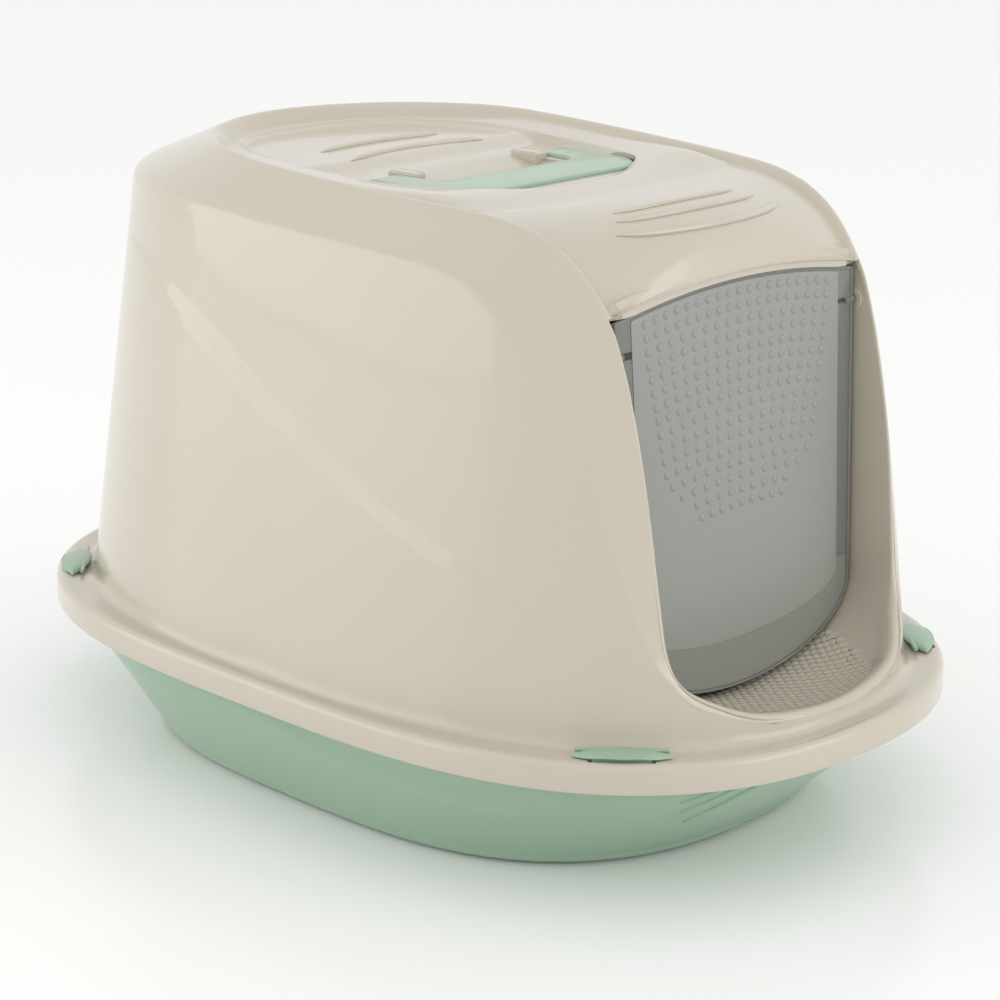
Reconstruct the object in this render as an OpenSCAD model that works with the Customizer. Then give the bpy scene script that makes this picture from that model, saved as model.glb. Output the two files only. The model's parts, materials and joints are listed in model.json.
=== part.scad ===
// Cat litter box with hood.
// Millimetres, +Z up, the front (door) faces -Y, origin at the centre of the base on the floor.
// Angles on the plan outlines run from the +X side: 90 is the front centre, -90 the back centre.

/* [Overall size] */
// Length of the rim, front to back
rim_length = 570; // [560:1:580]
// Width of the rim, side to side
rim_width = 368; // [362:1:374]
// Height of the oval roof edge at the back
overall_height = 355.5; // [351:0.5:360]

/* [Shells] */
// Wall thickness of the hood
hood_wall = 3; // [2.6:0.1:3.4]
// Wall thickness of the tray
tray_wall = 3; // [2.6:0.1:3.4]
// Height of the hood's skirt, rim edge to flange top
skirt_height = 16; // [15:0.5:17]
// Height of the flange top above the floor
flange_z = 84.6; // [84:0.2:85.4]
// Height of the recessed roof floor above the floor
roof_floor_z = 340.5; // [339:0.5:341.5]

/* [Door flap] */
// Half width of the flap at its top corners
door_half_width = 97; // [95:0.5:97]
// Half width of the flap where its rounded bottom starts
door_low_half_width = 91.5; // [89.5:0.5:91.5]
// Height of the flap's pivot axis
door_axis_z = 279; // [277:0.5:281]
// Thickness of the flap
door_thickness = 2.4; // [2:0.1:2.8]
// Forward lean of the flap's lower edge, degrees
door_lean = 3; // [2:0.5:3]

/* [Carrying handle] */
// Width of the handle over its arms
handle_width = 154; // [148:1:158]
// Front to back size of the grip bar
grip_depth = 40; // [36:1:42]
// Thickness of the handle
handle_thickness = 5.6; // [5:0.2:6]

/* [Clips] */
// Length of a clip's eye-shaped cap
clip_length = 52; // [48:1:56]
// Width of a clip's cap
clip_width = 17; // [15:0.5:18]

/* [Filter] */
// Size of the carbon pad: width, length, thickness
filter_size = [116, 76, 8]; // [60:1:120]

/* [Hidden] */

beige = "#D8D0C0";
green = "#9DBFA6";
smoke = [0.62, 0.63, 0.61, 0.75];
foam = "#3A3B3C";

$fn = 48;
clearance = 0.4;
bore_play = 0.05;

// Plan outlines: half width, half length and the two exponents of a superellipse
rim_plan = [rim_width / 2, rim_length / 2, 2.28, 3.17];
foot_plan = [rim_width / 2 - 13.5, rim_length / 2 - 17, 2.28, 2.5];
tray_inset = 10.6;
roof_under = roof_floor_z - hood_wall;
skirt_z = flange_z - skirt_height;
tray_top_z = flange_z - hood_wall - clearance;

// The ridge that frames the door and the roof, from the front centre over the pillar and the
// roof side to the back centre: x, y, z and the angle at which its wall meets the flange
ridge_points = [
    [0, -265, 92.5, 90], [32, -263.5, 94.8, 83], [57, -258, 98.5, 75], [75, -247, 106, 67],
    [87, -236.5, 115, 60], [93.5, -229, 131, 54], [96, -225, 160, 49], [98, -219, 205, 43],
    [99, -210, 250, 37.5], [100, -200, 284, 33], [101, -192.5, 300, 29.5], [103, -176, 321, 25],
    [105, -156, 335, 20], [108.5, -128, 343.5, 15], [113, -90, 346.5, 9], [117, -35, 349, 1],
    [118, 20, 351.5, -9], [115.5, 60, 353.5, -20], [107, 92, 354.8, -31], [92.5, 118, 355.2, -42],
    [72, 141, 355.4, -54], [49, 156, 355.5, -65], [25, 166, 355.5, -77], [0, 169.5, 355.5, -90]];
door_top_point = 10;
steps = 2;
scale_to_size = [rim_width / 368, rim_length / 570, overall_height / 355.5, 1];

// Heights of the wall's rings, and how the wall leans in: nearly straight to the shoulder
wall_rings = [0, 0.03, 0.2, 0.4, 0.6, 0.78, 0.88, 0.94, 0.98];
shoulder_height = 0.915;
shoulder_reach = 0.58;
shoulder_round = 0.1;

door_axis_y = -190 * scale_to_size.y;
door_top_z = 306.8;
door_corner_z = 297;
door_round_z = 125;
door_bottom_z = 84.8;
door_pin_r = 2.5;
door_pin_length = 5;
hole_behind_door = 12;

handle_axis = [0, 6, roof_floor_z - 1];
handle_front_y = -65;
handle_arm_width = 23;
handle_corner = 30;
handle_pin_r = 1.9;
handle_end = 1.2;
pocket_gap = 1;
pocket_back_y = 12;
lug_width = 9;

scoop_size = [84, 78, 14];
scoop_centre_y = -20;
vent_size = [16, 3];
vent_pitch = [20.3, 14];

clip_place = [124.3 * scale_to_size.x, 224.6 * scale_to_size.y];
clip_normal = 41.5;
clip_axis = [-5.5, 86.4];
clip_pin_r = 1.2;
clip_pin_span = 49;

holder_z = 311;
holder_hinge_r = 2;
holder_wall = 2.4;

function superellipse(plan, angle) = [
    plan[0] * pow(max(cos(angle), 0), 2 / plan[2]),
    -plan[1] * sign(sin(angle)) * pow(abs(sin(angle)), 2 / plan[3])];
function inset_plan(plan, x, y) = [plan[0] - x, plan[1] - y, plan[2], plan[3]];

// Catmull-Rom curve through the ridge points, with its mirror image beyond both centres
function beyond(p, centre) = [-p[0], p[1], p[2], 2 * centre - p[3]];
function ridge_point(i) = i < 0 ? beyond(ridge_points[1], 90)
    : i >= len(ridge_points) ? beyond(ridge_points[len(ridge_points) - 2], -90)
    : ridge_points[i];
function spline(a, b, c, d, t) =
    (2 * b + (c - a) * t + (2 * a - 5 * b + 4 * c - d) * t * t + (3 * b - a - 3 * c + d) * t * t * t) / 2;
function scaled(p) = [for (k = [0:3]) p[k] * scale_to_size[k]];
ridge = [for (i = [0:len(ridge_points) - 2], k = [0:steps - 1])
    scaled(spline(ridge_point(i - 1), ridge_point(i), ridge_point(i + 1), ridge_point(i + 2), k / steps)),
    scaled(ridge_points[len(ridge_points) - 1])];
last = len(ridge) - 1;
door_top = door_top_point * steps;
columns = 2 * last;

function soft_min(a, b, k) = let (h = min(max(0.5 + 0.5 * (b - a) / k, 0), 1))
    b * (1 - h) + a * h - k * h * (1 - h);
// How far out the wall stands at height h: 1 at the foot and 0 at the ridge
function reach(h) = soft_min(1 - (1 - shoulder_reach) * h / shoulder_height,
    shoulder_reach * (1 - h) / (1 - shoulder_height), shoulder_round);

function plan_ring(plan, z) = [for (r = ridge) let (p = superellipse(plan, r[3])) [p.x, p.y, z]];
function wall_ring(h) = [for (r = ridge) let (f = superellipse(foot_plan, r[3]), g = reach(h))
    [r[0] + (f.x - r[0]) * g, r[1] + (f.y - r[1]) * g, flange_z + 0.4 + (r[2] - flange_z - 0.4) * h]];

// Inner edge of the channel: the doorway's edge in front, the foot of the recess wall on the roof
function door_y(z) = door_axis_y + (z - door_axis_z) * tan(door_lean);
function jamb_z(r) = r[2] > 150 ? r[2] - 10 * (305 - r[2]) / 150
    : door_round_z + 3 - (door_round_z + 3 - door_bottom_z + 4.4)
        * sqrt(max(1 - pow(r[0] / 96.5, 2), 0));
function doorway_edge(r) = let (z = jamb_z(r)) [r[0] * 0.99, door_y(z) + hole_behind_door, z];
function roof_edge(k) = let (r = ridge[k], n = ridge[min(k + 1, last)] - ridge[k - 1],
    depth = max(r[2] - roof_floor_z, 5), out = [n[1], -n[0]] / norm([n[1], n[0]]),
    move = 3 + 0.45 * depth)
    [max(r[0] - out[0] * move, 0), r[1] - out[1] * move, r[2] - depth];
channel_edge = [for (k = [0:last]) k <= door_top ? doorway_edge(ridge[k]) : roof_edge(k)];

ridge_ring = [for (r = ridge) [r[0], r[1], r[2]]];
hood_rings = concat(
    [plan_ring(rim_plan, skirt_z), plan_ring(rim_plan, flange_z - 4),
        plan_ring(inset_plan(rim_plan, 1.2, 1.2), flange_z - 1.2),
        plan_ring(inset_plan(rim_plan, 4, 4), flange_z)],
    [for (h = wall_rings) wall_ring(h)], [ridge_ring, channel_edge]);

// A half ring of points is mirrored to a closed loop of columns
function closed(half) = concat(half, [for (k = [last - 1:-1:1]) [-half[k].x, half[k].y, half[k].z]]);
function unit(v) = v / norm(v);
function along(rings, i, j) = rings[i][(j + 1) % columns] - rings[i][(j + columns - 1) % columns];
function across(rings, i, j) = rings[min(i + 1, len(rings) - 1)][j] - rings[max(i - 1, 0)][j];
function inward(rings, i, j) = unit(cross(across(rings, i, j), along(rings, i, j)));
function inner_rings(rings, t) = [for (i = [0:len(rings) - 1])
    [for (j = [0:columns - 1]) rings[i][j] + t * (i == 0
        ? unit([-rings[0][j].x, -rings[0][j].y * 0.6, 0]) : inward(rings, i, j))]];

// The slope above the door on the centre line, from the doorway's head to the roof's floor
brow = concat([for (p = [[-192.5, 309], [-189, 319], [-184, 328], [-178, 332.6], [-162, 338.4]])
    [p[0] * scale_to_size.y, p[1] * scale_to_size.z]], [[-149 * scale_to_size.y, roof_floor_z]]);
head_y = brow[0][0];

// The roof spans from each column to its mirror image. Row 0 is the back edge of the doorway's
// head, row 1 its front edge, and row r after them starts from column door_top + r - 1.
roof_strips = 12;
roof_rows = last - door_top + 1;
function roof_column(r) = door_top + max(r - 1, 0);
function roof_row(edge, r, wall) = let (a = edge[roof_column(r)], y = r == 1 ? head_y + wall : a.y,
    low = r < 2 ? a.z + wall : a.z,
    middle = r < 2 ? brow[0][1] + wall : lookup(y - 0.8 * wall, brow) - wall)
    [for (s = [1:roof_strips - 1]) let (t = sin(90 - 180 * s / roof_strips))
        [a.x * t, y, low + (middle - low) * (1 - t * t)]];

module shell_between(outer, inner, wall) {
    rows = len(outer);
    ring_points = rows * columns;
    per_row = roof_strips - 1;
    points = concat([for (ring = outer) each ring], [for (ring = inner) each ring],
        [for (r = [0:roof_rows - 1]) each roof_row(outer[rows - 1], r, 0)],
        [for (r = [0:roof_rows - 1]) each roof_row(inner[rows - 1], r, wall)]);
    function at(side, i, j) = side * ring_points + i * columns + (j + columns) % columns;
    function roof(side, r, s) = s == 0 ? at(side, rows - 1, roof_column(r))
        : s == roof_strips ? at(side, rows - 1, columns - roof_column(r))
        : r == roof_rows ? at(side, rows - 1, last)
        : 2 * ring_points + (side * roof_rows + r) * per_row + s - 1;
    function whole(faces) = [for (f = faces) if (f[0] != f[1] && f[1] != f[2] && f[0] != f[2]) f];
    function quad(a, b, c, d) = whole([[a, c, b], [a, d, c]]);
    function flip(faces, side) = side == 0 ? faces : [for (f = faces) [f[2], f[1], f[0]]];
    skins = [for (side = [0, 1], i = [0:rows - 2], j = [0:columns - 1])
        each flip(quad(at(side, i, j), at(side, i, j + 1), at(side, i + 1, j + 1),
            at(side, i + 1, j)), side)];
    rim = [for (j = [0:columns - 1])
        each quad(at(1, 0, j), at(1, 0, j + 1), at(0, 0, j + 1), at(0, 0, j))];
    roofs = [for (side = [0, 1], r = [0:roof_rows - 1], s = [0:roof_strips - 1])
        each flip(quad(roof(side, r, s), roof(side, r + 1, s), roof(side, r + 1, s + 1),
            roof(side, r, s + 1)), side)];
    door_head = [for (s = [0:roof_strips - 1])
        each quad(roof(0, 0, s + 1), roof(1, 0, s + 1), roof(1, 0, s), roof(0, 0, s))];
    door_sides = [for (j = [-door_top:door_top - 1])
        each quad(at(0, rows - 1, j), at(0, rows - 1, j + 1), at(1, rows - 1, j + 1),
            at(1, rows - 1, j))];
    polyhedron(points, concat(skins, rim, roofs, door_head, door_sides), convexity = 8);
}

module both_sides() {
    children();
    mirror([1, 0, 0]) children();
}

// ---- Tray ----
tray_base = [146, 197.5];
tray_columns = 72;
function tray_plan(z) = let (t = z / skirt_z)
    [tray_base[0] + (rim_plan[0] - tray_inset - tray_base[0]) * t,
        tray_base[1] + (rim_plan[1] - tray_inset - tray_base[1]) * t, rim_plan[2], rim_plan[3]];
function full_ring(plan, z) = [for (j = [0:tray_columns - 1])
    let (a = j * 360 / tray_columns, c = cos(a), s = sin(a))
    [plan[0] * sign(c) * pow(abs(c), 2 / plan[2]), plan[1] * sign(s) * pow(abs(s), 2 / plan[3]), z]];
lip_plan = inset_plan(rim_plan, tray_inset, tray_inset);
tray_rings = concat(
    [full_ring(inset_plan(tray_plan(0), 6, 8), 0), full_ring(inset_plan(tray_plan(2), 2, 2.5), 2)],
    [for (z = [7, 28, 50]) full_ring(tray_plan(z), z)],
    [full_ring(inset_plan(lip_plan, 2.4, 2.4), skirt_z),
        full_ring(inset_plan(lip_plan, 2.4, 2.4), tray_top_z - 5), full_ring(lip_plan, tray_top_z - 4),
        full_ring(lip_plan, tray_top_z - 1), full_ring(inset_plan(lip_plan, 1, 1), tray_top_z),
        full_ring(inset_plan(lip_plan, 4.4, 4.4), tray_top_z),
        full_ring(inset_plan(lip_plan, 5.4, 5.4), tray_top_z - 1)],
    [for (z = [50, 28, 9]) full_ring(inset_plan(tray_plan(z), tray_wall, tray_wall + 1.5), z)],
    [full_ring(inset_plan(tray_plan(tray_wall), 12, 14), tray_wall)]);

module lofted(rings, n) {
    function at(i, j) = i * n + j % n;
    polyhedron([for (ring = rings) each ring],
        concat([[for (j = [0:n - 1]) j]],
            [for (i = [0:len(rings) - 2], j = [0:n - 1])
                each [[at(i, j), at(i + 1, j), at(i + 1, j + 1)],
                    [at(i, j), at(i + 1, j + 1), at(i, j + 1)]]],
            [[for (j = [n - 1:-1:0]) (len(rings) - 1) * n + j]]), convexity = 6);
}

module tray() {
    color(green) lofted(tray_rings, tray_columns);
}

// ---- Hood ----
module at_clip(x_side, y_side) {
    turn = y_side * (x_side > 0 ? clip_normal : 180 - clip_normal) - 90;
    translate([x_side * clip_place.x, y_side * clip_place.y, 0]) rotate(turn) children();
}

module at_each_clip() {
    for (x_side = [-1, 1], y_side = [-1, 1]) at_clip(x_side, y_side) children();
}

module rod(r, length) {
    rotate([0, 90, 0]) cylinder(r = r, h = length, center = true);
}

clip_ear = 3.6;
module clip_ears() {
    for (side = [-1, 1]) translate([side * (clip_pin_span / 2 - 0.4), clip_axis[0], flange_z - 1])
        translate([-clip_ear / 2, -2.6, 0]) cube([clip_ear, 5.2, clip_axis[1] + 2.4 - flange_z + 1]);
}

module clip_cuts() {
    translate([0, clip_axis[0], clip_axis[1]]) rod(clip_pin_r + bore_play, clip_pin_span + 1);
    translate([-17, 0.6, flange_z - 10]) cube([34, 6.4, 20]);
}

door_boss_reach = 104.4;
module door_bosses() {
    both_sides() translate([98.6, door_axis_y, door_axis_z]) rotate([0, 90, 0])
        cylinder(r = 5.5, h = door_boss_reach - 98.6);
}

module door_bores() {
    both_sides() translate([95, door_axis_y, door_axis_z]) rotate([0, 90, 0])
        cylinder(r = door_pin_r + bore_play, h = door_half_width + door_pin_length + 0.5 - 95);
}

lug_x = handle_width / 2 - handle_arm_width - 1 - lug_width;
module handle_lugs() {
    both_sides() translate([lug_x, handle_axis.y - 9, roof_under])
        cube([lug_width, 20, handle_axis.z + 3.6 - roof_under]);
}

module handle_bores() {
    both_sides() translate([lug_x + 2, handle_axis.y, handle_axis.z]) rotate([0, 90, 0])
        cylinder(r = handle_pin_r + bore_play, h = lug_width);
}

// The handle lies in a pocket of its own shape, so that its top is nearly level with the roof
pocket_z = handle_axis.z - handle_thickness / 2 - 0.6;
module handle_tub() {
    translate([0, 0, pocket_z - hood_wall]) linear_extrude(roof_floor_z - 0.5 - pocket_z + hood_wall)
        hull() {
            offset(pocket_gap + hood_wall) handle_outline();
            translate([-handle_width / 2, 0]) square([handle_width, pocket_back_y + hood_wall]);
        }
}

module handle_pocket() {
    translate([0, 0, pocket_z]) linear_extrude(20) difference() {
        hull() {
            offset(pocket_gap) handle_outline();
            translate([-handle_width / 2 - pocket_gap, 0])
                square([handle_width + 2 * pocket_gap, pocket_back_y]);
        }
        offset(delta = -pocket_gap) handle_gap();
    }
}

module scoop(grow, top) {
    depth = scoop_size.z + grow;
    translate([0, scoop_centre_y, roof_floor_z - depth])
        linear_extrude(depth + top)
            square([scoop_size.x + 2 * grow, scoop_size.y + 2 * grow], center = true);
}

module vents() {
    for (x = [-1.5:1:1.5], y = [-1.5:1:1.5])
        translate([x * vent_pitch.x, scoop_centre_y + y * vent_pitch.y, roof_under - scoop_size.z])
            cube([vent_size.x, vent_size.y, 2 * hood_wall + 2], center = true);
}

holder_size = [filter_size.x + 2 * holder_wall + 1.2, filter_size.y + 2 * holder_wall + 1.2];
holder_axis = [scoop_centre_y + holder_size.y / 2 + 5, holder_z + 4];
holder_pin_span = 90;
module holder_hangers() {
    both_sides() translate([holder_pin_span / 2 - 1, holder_axis[0] - 3, holder_axis[1] - 3])
        cube([4, 6, roof_under - holder_axis[1] + 4]);
}

module holder_bores() {
    translate([0, holder_axis[0], holder_axis[1]]) rod(holder_hinge_r + bore_play, holder_pin_span + 4.6);
}

module hood() {
    outer = [for (half = hood_rings) closed(half)];
    inner = inner_rings(outer, hood_wall);
    color(beige) difference() {
        union() {
            shell_between(outer, inner, hood_wall);
            handle_tub();
            scoop(hood_wall, -0.5);
            door_bosses();
            handle_lugs();
            holder_hangers();
            at_each_clip() clip_ears();
        }
        handle_pocket();
        scoop(0, 1);
        vents();
        door_bores();
        handle_bores();
        holder_bores();
        at_each_clip() clip_cuts();
    }
}

// ---- Door flap ----
function door_arc(x) = door_corner_z + (door_top_z - door_corner_z) * (1 - pow(x / door_half_width, 2));
door_outline = concat(
    [for (k = [-6:6]) let (x = door_half_width * k / 6) [x, door_arc(x)]],
    [for (a = [0:9:180]) [door_low_half_width * cos(a),
        door_round_z - (door_round_z - door_bottom_z) * sin(a)]]);

module door_flap() {
    color(smoke) translate([0, door_axis_y, door_axis_z]) rotate([-door_lean, 0, 0]) {
        translate([0, door_thickness / 2, -door_axis_z]) rotate([90, 0, 0])
            linear_extrude(door_thickness) polygon(door_outline);
        both_sides() translate([door_half_width - 6, 0, 0]) rotate([0, 90, 0])
            cylinder(r = door_pin_r, h = 6 + door_pin_length);
    }
}

// ---- Carrying handle ----
module handle_outline() {
    back_y = handle_axis.y + handle_end;
    half = handle_width / 2;
    hull() {
        translate([-half, back_y - 20]) square([handle_width, 20]);
        for (side = [-1, 1]) translate([side * (half - handle_corner), handle_front_y + handle_corner])
            circle(handle_corner, $fn = 64);
    }
}

module handle_gap() {
    half = handle_width / 2 - handle_arm_width;
    hull() {
        translate([-half, handle_axis.y - 10]) square([2 * half, 40]);
        for (side = [-1, 1]) translate([side * (half - 9), handle_front_y + grip_depth + 9])
            circle(9);
    }
}

module carry_handle() {
    color(green) {
        translate([0, 0, handle_axis.z - handle_thickness / 2]) linear_extrude(handle_thickness)
            difference() {
                handle_outline();
                handle_gap();
            }
        both_sides() translate([lug_x + 2.6, handle_axis.y, handle_axis.z]) rotate([0, 90, 0])
            cylinder(r = handle_pin_r, h = lug_width + 2);
    }
}

// ---- Clips ----
module eye(length, width) {
    r = (length * length / 4 + width * width / 4) / width;
    intersection_for (side = [-1, 1]) translate([0, side * (r - width / 2)]) circle(r, $fn = 160);
}

clip_base_z = flange_z + 1;
clip_leg_z = skirt_z + 1.6;
module clip() {
    color(green) {
        translate([0, 0, clip_base_z]) linear_extrude(1.4) eye(clip_length, clip_width);
        translate([0, 0, clip_base_z + 1]) linear_extrude(1.6) eye(clip_length - 12, clip_width - 5);
        translate([-15, 2, clip_leg_z]) cube([30, 2.2, clip_base_z + 1 - clip_leg_z]);
        translate([-15, 1.4, clip_leg_z]) cube([30, 2, 3]);
        translate([0, clip_axis[0], clip_axis[1]]) rod(clip_pin_r, clip_pin_span);
    }
}

module latch_front_left() { at_clip(-1, -1) clip(); }
module latch_front_right() { at_clip(1, -1) clip(); }
module latch_rear_left() { at_clip(-1, 1) clip(); }
module latch_rear_right() { at_clip(1, 1) clip(); }

// ---- Filter ----
pad_z = holder_z + holder_wall + 0.4;
module carbon_filter() {
    color(foam) translate([0, scoop_centre_y, pad_z + filter_size.z / 2])
        cube(filter_size, center = true);
}

module filter_holder() {
    color(green) difference() {
        union() {
            translate([0, scoop_centre_y, holder_z]) linear_extrude(holder_wall + 7)
                square(holder_size, center = true);
            translate([0, holder_axis[0], holder_axis[1]]) rod(holder_hinge_r, holder_pin_span + 4);
            for (x = [-30, 30]) translate([x - 6, holder_axis[0] - 6, holder_axis[1] - 1.5])
                cube([12, 6, 3]);
            translate([-12, scoop_centre_y - holder_size.y / 2 - 8, holder_z]) cube([24, 10, holder_wall]);
        }
        translate([0, scoop_centre_y, holder_z + holder_wall]) linear_extrude(20)
            square([filter_size.x + 1.2, filter_size.y + 1.2], center = true);
        for (k = [-4:4]) translate([k * 12.4, scoop_centre_y, holder_z])
            cube([7, filter_size.y - 14, 20], center = true);
    }
}

tray();
hood();
door_flap();
carry_handle();
latch_front_left();
latch_front_right();
latch_rear_left();
latch_rear_right();
carbon_filter();
filter_holder();
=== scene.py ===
"""Looks of a cat litter box with a hood: the tray, the hood, its door, handle, clips and filter.

Lengths inside the shape functions are millimetres, and a piece is scaled to metres when it is made.
+Z is up and the door faces -Y. Angles on the plan outlines run from the +X side: 90 is the front.
"""
import json
import math

import bmesh
import bpy
import numpy as np
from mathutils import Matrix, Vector


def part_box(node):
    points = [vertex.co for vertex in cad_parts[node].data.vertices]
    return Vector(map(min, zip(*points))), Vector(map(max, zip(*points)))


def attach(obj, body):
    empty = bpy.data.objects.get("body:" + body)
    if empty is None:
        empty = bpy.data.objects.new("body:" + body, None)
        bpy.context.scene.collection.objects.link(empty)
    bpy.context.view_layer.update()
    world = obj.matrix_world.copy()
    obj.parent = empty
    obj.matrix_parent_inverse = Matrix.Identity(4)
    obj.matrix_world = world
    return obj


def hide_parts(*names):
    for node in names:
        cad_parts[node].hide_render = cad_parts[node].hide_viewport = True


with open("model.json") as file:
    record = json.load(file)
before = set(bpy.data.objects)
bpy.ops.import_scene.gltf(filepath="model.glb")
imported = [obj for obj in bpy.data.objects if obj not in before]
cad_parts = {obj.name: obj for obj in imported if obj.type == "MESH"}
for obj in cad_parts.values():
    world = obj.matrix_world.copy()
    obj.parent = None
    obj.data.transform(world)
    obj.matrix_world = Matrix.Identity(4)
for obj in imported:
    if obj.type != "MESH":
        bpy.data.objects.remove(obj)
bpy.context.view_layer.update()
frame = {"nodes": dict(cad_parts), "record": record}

bl_info = {
    "name": "Hooded litter box",
    "version": (1, 0, 0),
    "blender": (4, 5, 0),
    "location": "View3D > Sidebar > Litter box",
    "description": "Builds a cat litter box with a hood, a swinging door and a carrying handle",
    "category": "Add Mesh",
}

MM = 0.001


def box_mm(node):
    """Lowest and highest corner of a CAD node, in millimetres."""
    low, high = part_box(node)
    return np.array(low) / MM, np.array(high) / MM


HOOD_LOW, HOOD_HIGH = box_mm("hood")
HANDLE_LOW, HANDLE_HIGH = box_mm("carry_handle")
PAD_LOW, PAD_HIGH = box_mm("carbon_filter")
JOINTS = {joint["name"]: joint for joint in frame["record"]["behaviour"]["joints"]}


# ---- Shared shape of the shells ----
SKIRT_Z = HOOD_LOW[2]
FLANGE_Z = SKIRT_Z + 16
ROOF_FLOOR_Z = 340.5
WALL = 3.0
RIM_PLAN = (HOOD_HIGH[0], HOOD_HIGH[1], 2.28, 3.17)
FOOT_PLAN = (HOOD_HIGH[0] - 13.5, HOOD_HIGH[1] - 17, 2.28, 2.5)

# The ridge that frames the door and the roof, from the front centre over the pillar and the roof
# side to the back centre: x, y, z and the angle at which its wall meets the flange
RIDGE_POINTS = np.array([
    (0, -265, 92.5, 90), (32, -263.5, 94.8, 83), (57, -258, 98.5, 75), (75, -247, 106, 67),
    (87, -236.5, 115, 60), (93.5, -229, 131, 54), (96, -225, 160, 49), (98, -219, 205, 43),
    (99, -210, 250, 37.5), (100, -200, 284, 33), (101, -192.5, 300, 29.5), (103, -176, 321, 25),
    (105, -156, 335, 20), (108.5, -128, 343.5, 15), (113, -90, 346.5, 9), (117, -35, 349, 1),
    (118, 20, 351.5, -9), (115.5, 60, 353.5, -20), (107, 92, 354.8, -31), (92.5, 118, 355.2, -42),
    (72, 141, 355.4, -54), (49, 156, 355.5, -65), (25, 166, 355.5, -77), (0, 169.5, 355.5, -90)])
DOOR_TOP_POINT = 10
SHOULDER_HEIGHT, SHOULDER_REACH, SHOULDER_ROUND = 0.915, 0.58, 0.1

DOOR_AXIS = Vector(JOINTS["door_swing"]["pos_m"]) / MM
DOOR_LEAN = math.radians(3)
DOOR_HALF, DOOR_LOW_HALF = 97.0, 91.5
DOOR_TOP_Z, DOOR_CORNER_Z, DOOR_ROUND_Z, DOOR_BOTTOM_Z = 306.8, 297.0, 125.0, 84.8
HANDLE_AXIS = Vector(JOINTS["handle_fold"]["pos_m"]) / MM
POCKET_GAP, POCKET_BACK_Y, POCKET_Z = 1.0, 12.0, HANDLE_LOW[2] - 0.6
GRIP_DEPTH = 40.0


def smoothstep(low, high, x):
    t = np.clip((np.asarray(x, float) - low) / (high - low), 0, 1)
    return t * t * (3 - 2 * t)


def unit(v):
    return v / np.maximum(np.linalg.norm(v, axis=-1, keepdims=True), 1e-9)


def superellipse(plan, degrees):
    """Points of a superellipse: half width, half length and its two exponents."""
    a, b, p, q = plan
    c, s = np.cos(np.radians(degrees)), np.sin(np.radians(degrees))
    return np.stack([a * np.sign(c) * np.abs(c) ** (2 / p), -b * np.sign(s) * np.abs(s) ** (2 / q)], -1)


def spline(points, steps):
    """Catmull-Rom curve with steps[i] points on segment i, mirrored across x = 0 past both ends."""
    mirror = np.array([-1, 1, 1, -1])
    before = points[1] * mirror + [0, 0, 0, 180]
    after = points[-2] * mirror + [0, 0, 0, -180]
    p = np.vstack([before, points, after])
    rows = []
    for i, count in enumerate(steps):
        a, b, c, d = p[i:i + 4]
        for t in np.arange(count) / count:
            rows.append((2 * b + (c - a) * t + (2 * a - 5 * b + 4 * c - d) * t ** 2
                         + (3 * b - a - 3 * c + d) * t ** 3) / 2)
    return np.array(rows + [points[-1]])


def curve_through(points, count):
    """Smooth open curve of count points through a few control points."""
    p = np.asarray(points, float)
    p = np.vstack([2 * p[0] - p[1], p, 2 * p[-1] - p[-2]])
    out = []
    for u in np.linspace(0, len(p) - 3 - 1e-9, count):
        i, t = int(u), u - int(u)
        a, b, c, d = p[i:i + 4]
        out.append((2 * b + (c - a) * t + (2 * a - 5 * b + 4 * c - d) * t ** 2
                    + (3 * b - a - 3 * c + d) * t ** 3) / 2)
    return np.array(out)


SEGMENT_STEPS = [8] * DOOR_TOP_POINT + [20] * 9 + [12] * 4
RIDGE = spline(RIDGE_POINTS, SEGMENT_STEPS)
LAST = len(RIDGE) - 1
DOOR_TOP = sum(SEGMENT_STEPS[:DOOR_TOP_POINT])
COLUMNS = 2 * LAST


def closed(half):
    """Half a ring, front centre to back centre, with its mirror image: a closed loop of columns."""
    return np.vstack([half, half[-2:0:-1] * [-1, 1, 1]])


def reach(h):
    """How far out the wall stands at height h: 1 at the foot and 0 at the ridge."""
    a = 1 - (1 - SHOULDER_REACH) * h / SHOULDER_HEIGHT
    b = SHOULDER_REACH * (1 - h) / (1 - SHOULDER_HEIGHT)
    k = np.clip(0.5 + 0.5 * (b - a) / SHOULDER_ROUND, 0, 1)
    return b * (1 - k) + a * k - SHOULDER_ROUND * k * (1 - k)


FOOT = superellipse(FOOT_PLAN, RIDGE[:, 3])


def wall(h):
    """Half ring of the wall at height h, which is one number or one for each column."""
    h = np.broadcast_to(h, len(RIDGE))
    out = RIDGE[:, :2] + (FOOT - RIDGE[:, :2]) * reach(h)[:, None]
    return np.column_stack([out, FLANGE_Z + 0.4 + (RIDGE[:, 2] - FLANGE_Z - 0.4) * h])


def rim_ring(inset, z):
    a, b, p, q = RIM_PLAN
    xy = superellipse((a - inset, b - inset, p, q), RIDGE[:, 3])
    return np.column_stack([xy, np.full(len(xy), z)])


def bend(a, corner, b, count):
    """Points of a quadratic curve from a to b, pulled towards corner, without both ends."""
    ts = np.arange(1, count) / count
    return [(1 - t) ** 2 * a + 2 * t * (1 - t) * corner + t ** 2 * b for t in ts]


# ---- Roof ----
POCKET = dict(half_width=86.5, centre_y=38.0, back=113.0, front=119.0, power=2.6)


def outside_pocket(x, y):
    """Distance outside the oval edge that rings the handle's pocket. It is negative inside."""
    length = np.where(y > POCKET["centre_y"], POCKET["back"], POCKET["front"])
    n = POCKET["power"]
    f = (np.abs(x) / POCKET["half_width"]) ** n + (np.abs(y - POCKET["centre_y"]) / length) ** n
    return (f ** (1 / n) - 1) * 90


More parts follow.
